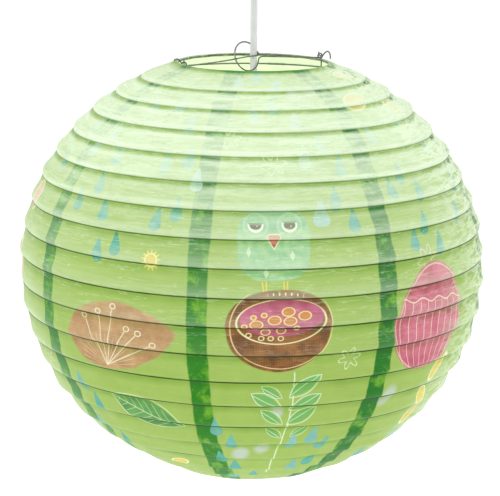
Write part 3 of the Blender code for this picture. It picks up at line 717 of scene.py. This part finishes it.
def printedPaper():
    material, tree, shader, start = startMaterial("printedPaper")
    uv = start.node("ShaderNodeUVMap", {"uv_map": "print"})
    turn = start.node("ShaderNodeSeparateXYZ", inputs={0: uv}, output=0) * 360
    arc = start.node("ShaderNodeSeparateXYZ", inputs={0: uv}, output=1) * 500 - paper["chartLift"]
    girth = start.node("ShaderNodeAttribute", {"attribute_name": "girth"}, output="Fac")
    panel = start.node("ShaderNodeAttribute", {"attribute_name": "panel"}, output="Fac")
    first = paper["seam"] - 90
    azimuth = start.maths("WRAP", turn, first + 180, first)
    spotParts = {0: turn * (math.pi / 180) * 0.2, 1: arc * 0.001, 2: 0.0}
    spot = start.node("ShaderNodeCombineXYZ", inputs=spotParts)
    chart = {"azimuth": azimuth, "turn": turn, "arc": arc, "girth": girth, "panel": panel, "spot": spot}

    cloud = noiseOf(start, spot, 9, 4)
    mottle = noiseOf(start, spot, 60, 5, 0.65)
    fibre = noiseOf(start, spot, 260, 3, 0.6)
    ground = (mottle.above(0.5, 0.2) * 0.5).over(paint(156, 185, 86), paint(140, 171, 72))
    # pale clouds on the upper half only: painted paleness where the light from above falls strongest
    ground = (cloud.above(0.6, 0.08) * 0.4 * panel.below(8, 4)).over(ground, paint(190, 208, 170))
    for draw in (printSmallThings, printFlower, printLeaf, printPlant, printStripes, printBulb, printOwl,
                 printBowl, printSun, printDrops):
        ground = draw(chart, ground)

    # painted shade: a darker strip just below each hoop, where the paper above bags out over the hoop; the
    # hoop's wire shows as a thin line, drawn below
    into = panel.maths("FRACT", panel)
    part = start.maths("WRAP", panel, 0.5, -0.5)
    wobble = (noiseOf(start, spot, 34, 3) - 0.5) * 0.03
    patchy = noiseOf(start, spot, 22, 2)
    # the painted shade below each hoop is patchy and darkens the print by multiplying it
    shadeBelowHoop = into.below(0.24, 0.12) * (patchy.above(0.42, 0.2) * 0.55 + 0.3)
    ground = shadeBelowHoop.times(ground, paint(204, 226, 150))

    # the painted sheen runs in long streaks, stronger towards the top and at the two sides, with painted
    # glints along the crumples
    streaky = start.node("ShaderNodeMapping", inputs={"Vector": spot, "Scale": (11, 150, 1)})
    streak = noiseOf(start, streaky, 1, 4, 0.6)
    slanted = {"Vector": spot, "Rotation": (0, 0, 0.5), "Scale": (26, 110, 1)}
    crumpled = start.node("ShaderNodeMapping", inputs=slanted)
    crumple = (noiseOf(start, crumpled, 1, 4, 0.65) - 0.5).abs()
    rightSide = turn.above(62, 12) * turn.below(118, 14)
    leftSide = turn.below(-60, 10) * turn.above(-112, 12)
    down = (panel * (1 / panels)).ramp(glossDown)
    down = down.most(rightSide * 0.4).most(leftSide * 0.45)
    across = into.ramp(glossAcross)
    upper = panel.below(6.5, 2.5)
    across = across.most(upper * into.above(0.16, 0.08) * 0.8)
    paintedSheen = down * across * (streak.above(0.5, 0.16) * 0.45 + 0.74)
    paintedSheen = paintedSheen + crumple.below(0.05, 0.05) * (rightSide * 0.55 + upper * 0.12)
    paintedSheen = paintedSheen.least(0.93).most(0.0)
    # lay the painted sheen over the print as a milky pale
    ground = paintedSheen.over(ground, paint(236, 250, 226))

    # thin creases: pale lines of painted highlight and darker lines of painted shade
    crease = (streak - 0.46).abs().below(0.006, 0.008) * (panel.below(10.5, 1.5) * 0.3 + rightSide * 0.3)
    ground = crease.over(ground, paint(246, 254, 238))
    crease = (streak - 0.54).abs().below(0.006, 0.008) * (upper * 0.25 + 0.14)
    ground = crease.times(ground, paint(150, 184, 120))
    # the hoop's wire: a dark line that is partly the wire seen through the paper and partly painted shade
    # where the paper tucks in at the hoop, paler on the upper panels under the painted sheen
    lineTone = panel.above(6, 2.5).over(paint(112, 140, 92), paint(18, 52, 8))
    lineStrength = (panel * (1 / panels)).ramp([(0, .4), (.1, .5), (.28, .75), (.4, .95), (1, 1)])
    fromWire = (part + wobble * 0.3 - 0.006).abs()
    wire = (fromWire - panel.above(10, 3) * 0.012 - 0.021).below(0.0, 0.007)
    wire = wire * (patchy.above(0.4, 0.2) * 0.3 + 0.7)
    wire = wire * lineStrength * panel.above(0.5, 0.05) * panel.below(panels - 0.5, 0.05)
    ground = wire.over(ground, lineTone)
    rim = panel.below(0.1, 0.05) * (turn - 8).abs().below(34, 5)
    ground = (rim * 0.85).over(ground, paint(44, 132, 34))
    rimEdge = panel.below(0.05, 0.04) * (streak.above(0.45, 0.1) * 0.5)
    ground = rimEdge.over(ground, paint(96, 150, 60))
    # the inner side is painted near white: partly its plain unprinted face, partly painted light coming
    # through the paper
    back = start.node("ShaderNodeNewGeometry", output="Backfacing")
    ground = (back * 0.9).over(ground, paint(248, 252, 240))

    # a canvas-like weave, fibres, long pleats and slanting crumples stand in the surface, in millimetres
    weave = (turn * 9.6).sin() * 0.5 + (arc * 5.2).sin() * 0.5
    pleat = 1 - (streak - 0.5).abs() * 3
    half = paper["gore"] / 2
    join = start.maths("WRAP", turn - paper["seam"], half, -half).abs().below(7, 5)
    height = weave * 0.02 + mottle * 0.10 + fibre * 0.05
    height = height + pleat * (join * 0.22 + upper * 0.14 + rightSide * 0.3 + 0.12)
    height = height + (0.5 - crumple) * (rightSide * 0.9 + upper * 0.15 + 0.1)
    bump = start.node("ShaderNodeBump", inputs={"Height": height, "Strength": 1.0, "Distance": mm})
    feed(tree, shader, "Base Color", ground)
    feed(tree, shader, "Roughness", mottle * 0.2 + 0.36)
    feed(tree, shader, "Normal", bump)
    shader.inputs["Specular IOR Level"].default_value = sheen["specular"]
    # the plain inner side glows a little, which stands in for light coming through the paper
    feed(tree, shader, "Emission Color", back.over((0, 0, 0, 1), paint(236, 250, 222)))
    shader.inputs["Emission Strength"].default_value = sheen["innerGlow"]
    shader.inputs["Coat Weight"].default_value = sheen["coat"]
    shader.inputs["Coat Roughness"].default_value = sheen["coatRough"]
    shader.inputs["Coat IOR"].default_value = sheen["coatIndex"]
    glow = tree.nodes.new("ShaderNodeBsdfTranslucent")
    glow.inputs["Color"].default_value = paint(226, 244, 190)
    mix = tree.nodes.new("ShaderNodeMixShader")
    through = start.node("ShaderNodeSeparateColor", inputs={0: ground}) * sheen["through"]
    tree.links.new(through.socket, mix.inputs[0])
    tree.links.new(shader.outputs[0], mix.inputs[1])
    tree.links.new(glow.outputs[0], mix.inputs[2])
    tree.links.new(mix.outputs[0], tree.nodes["Material Output"].inputs[0])
    return material


# the sleeve's half turn is in degrees on a hoop of one metre's radius, so every sleeve is as long
hoop = {"around": 144, "section": 10, "sleeve": 0.21 * mm, "sleeveHalfTurn": 0.5, "seam": 168}


def selectFaces(piece, wanted):
    # in edit mode, select the faces whose middles pass a test
    bpy.ops.mesh.select_all(action="DESELECT")
    bpy.ops.object.mode_set(mode="OBJECT")
    for face in piece.data.polygons:
        face.select = wanted(face.center)
    bpy.ops.object.mode_set(mode="EDIT")


def buildHoops(steel):
    # each hoop is a bent wire whose ends meet in a crimped sleeve at the back
    for name in ribNames:
        low, high = boxOf(name)
        wire = (high.z - low.z) / 2
        radius = high.x - wire
        bpy.ops.object.select_all(action="DESELECT")
        bpy.ops.mesh.primitive_torus_add(major_radius=radius, minor_radius=wire,
                                         major_segments=hoop["around"], minor_segments=hoop["section"],
                                         location=(0, 0, (low.z + high.z) / 2))
        piece = bpy.context.object
        piece.name = piece.data.name = "hoop" + name[-2:]
        bpy.ops.object.transform_apply(location=True)
        bpy.ops.object.mode_set(mode="EDIT")

        def atSleeve(middle):
            turn = math.degrees(math.atan2(middle.x, -middle.y))
            return abs((turn - hoop["seam"] + 180) % 360 - 180) < hoop["sleeveHalfTurn"] / radius
        selectFaces(piece, atSleeve)
        bpy.ops.mesh.extrude_region_shrink_fatten(TRANSFORM_OT_shrink_fatten={"value": hoop["sleeve"]})
        bpy.ops.object.mode_set(mode="OBJECT")
        bpy.ops.object.shade_smooth_by_angle(angle=math.radians(50))
        finishPiece(piece, steel, name)
    print("hoops", len(ribNames))


def finishPiece(piece, material, *names):
    piece.data.materials.clear()
    piece.data.materials.append(material)
    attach(piece, bodyOf[names[0]])
    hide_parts(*names)


# wires are smoothed and made slightly thicker; every other CAD node has its edges rounded, in millimetres
wires = ["stretcher_bar", "stretcher_leg_left", "stretcher_leg_right", "top_ring", "bottom_ring",
         "plunger_spring_left", "plunger_spring_right"]
bevels = {"ceiling_rose_base": 0.6, "ceiling_rose_cover": 0.8, "rose_cord_gland": 0.5,
          "rose_terminal_block": 0.4,
          "terminal_screw_left": 0.15, "terminal_screw_middle": 0.15, "terminal_screw_right": 0.15,
          "holder_cap": 0.5, "holder_barrel": 0.4, "holder_shade_ring": 0.5, "holder_contact_block": 0.4,
          "contact_plunger_left": 0.25, "contact_plunger_right": 0.25, "lamp_cap": 0.2, "lamp_insulator": 0.2,
          "lamp_contact_left": 0.25, "lamp_contact_right": 0.25, "lamp_glass": 0.0}


def refine(node, material, levels=0, bevel=0.0, fatten=0.0):
    # a merged copy of a CAD node stands for it, with its edges rounded or its wire smoothed
    words = node.split("_")
    name = words[0] + "".join(word.capitalize() for word in words[1:])
    piece = bpy.data.objects.new(name, nodes[node].data.copy())
    piece.data.name = name
    bpy.context.collection.objects.link(piece)
    bpy.ops.object.select_all(action="DESELECT")
    bpy.context.view_layer.objects.active = piece
    piece.select_set(True)
    bpy.ops.object.mode_set(mode="EDIT")
    bpy.ops.mesh.select_all(action="SELECT")
    bpy.ops.mesh.remove_doubles(threshold=0.004 * mm)
    bpy.ops.mesh.tris_convert_to_quads(face_threshold=math.radians(20), shape_threshold=math.radians(60))
    bpy.ops.mesh.normals_make_consistent(inside=False)
    if fatten:
        bpy.ops.transform.shrink_fatten(value=fatten)
    bpy.ops.object.mode_set(mode="OBJECT")
    if bevel:
        rounding = piece.modifiers.new("rounding", "BEVEL")
        rounding.width = bevel * mm
        rounding.segments = 3
        rounding.limit_method = "ANGLE"
        rounding.angle_limit = math.radians(38)
        rounding.use_clamp_overlap = True
        bpy.ops.object.modifier_apply(modifier="rounding")
    if levels:
        smoothing = piece.modifiers.new("smoothing", "SUBSURF")
        smoothing.levels = smoothing.render_levels = levels
        bpy.ops.object.modifier_apply(modifier="smoothing")
    bpy.ops.object.shade_smooth_by_angle(angle=math.radians(42))
    finishPiece(piece, material, node)
    return piece


flex = {"rings": 26, "sides": 32, "drift": 0.06 * mm, "skin": 0.985}


def buildFlex(material):
    # a round sheathed flex, pulled straight by the shade's weight, from the rose into the holder's cap
    low, high = boxOf("pendant_cord")
    radius = (high.x - low.x) / 2
    drift = flex["drift"]
    route = [Vector((drift * math.sin(step * 0.9), drift * math.cos(step * 0.7) - drift,
                     low.z + (high.z - low.z) * step / flex["rings"])) for step in range(flex["rings"] + 1)]
    bpy.ops.object.select_all(action="DESELECT")
    bpy.ops.mesh.primitive_circle_add(vertices=flex["sides"], radius=radius * flex["skin"], fill_type="NGON",
                                      location=route[0])
    piece = bpy.context.object
    piece.name = piece.data.name = "flexSheath"
    bpy.ops.object.transform_apply(location=True)
    bpy.ops.object.mode_set(mode="EDIT")
    bpy.ops.mesh.select_all(action="SELECT")
    for start, end in zip(route, route[1:]):
        bpy.ops.mesh.extrude_region_move(TRANSFORM_OT_translate={"value": end - start})
    bpy.ops.mesh.select_all(action="SELECT")
    bpy.ops.mesh.normals_make_consistent(inside=False)
    bpy.ops.object.mode_set(mode="OBJECT")
    bpy.ops.object.shade_smooth_by_angle(angle=math.radians(50))
    finishPiece(piece, material, "pendant_cord")
    print("flex", round(high.z - low.z, 3), "m long")


bpy.ops.object.select_all(action="DESELECT")
placeCamera()
buildStudio()
print("studio ready")
hardFinishes = {slot: hardFinish(slot) for slot in finishes}
buildFlex(hardFinishes["flex_sheath"])
buildPaper()
buildHoops(hardFinishes["wire_steel"])
for node in wires:
    levels = 2 if node.startswith("stretcher") else 1
    piece = refine(node, hardFinishes["wire_steel"], levels=levels, fatten=0.05 * mm)
    if node.startswith("plunger"):
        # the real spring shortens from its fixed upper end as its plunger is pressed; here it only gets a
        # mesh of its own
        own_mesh(piece)
for node, bevel in bevels.items():
    slot = nodes[node].material_slots[0].material.name.split(".")[0]
    refine(node, hardFinishes[slot], levels=2 if node == "lamp_glass" else 0, bevel=bevel)
print("hardware refined")
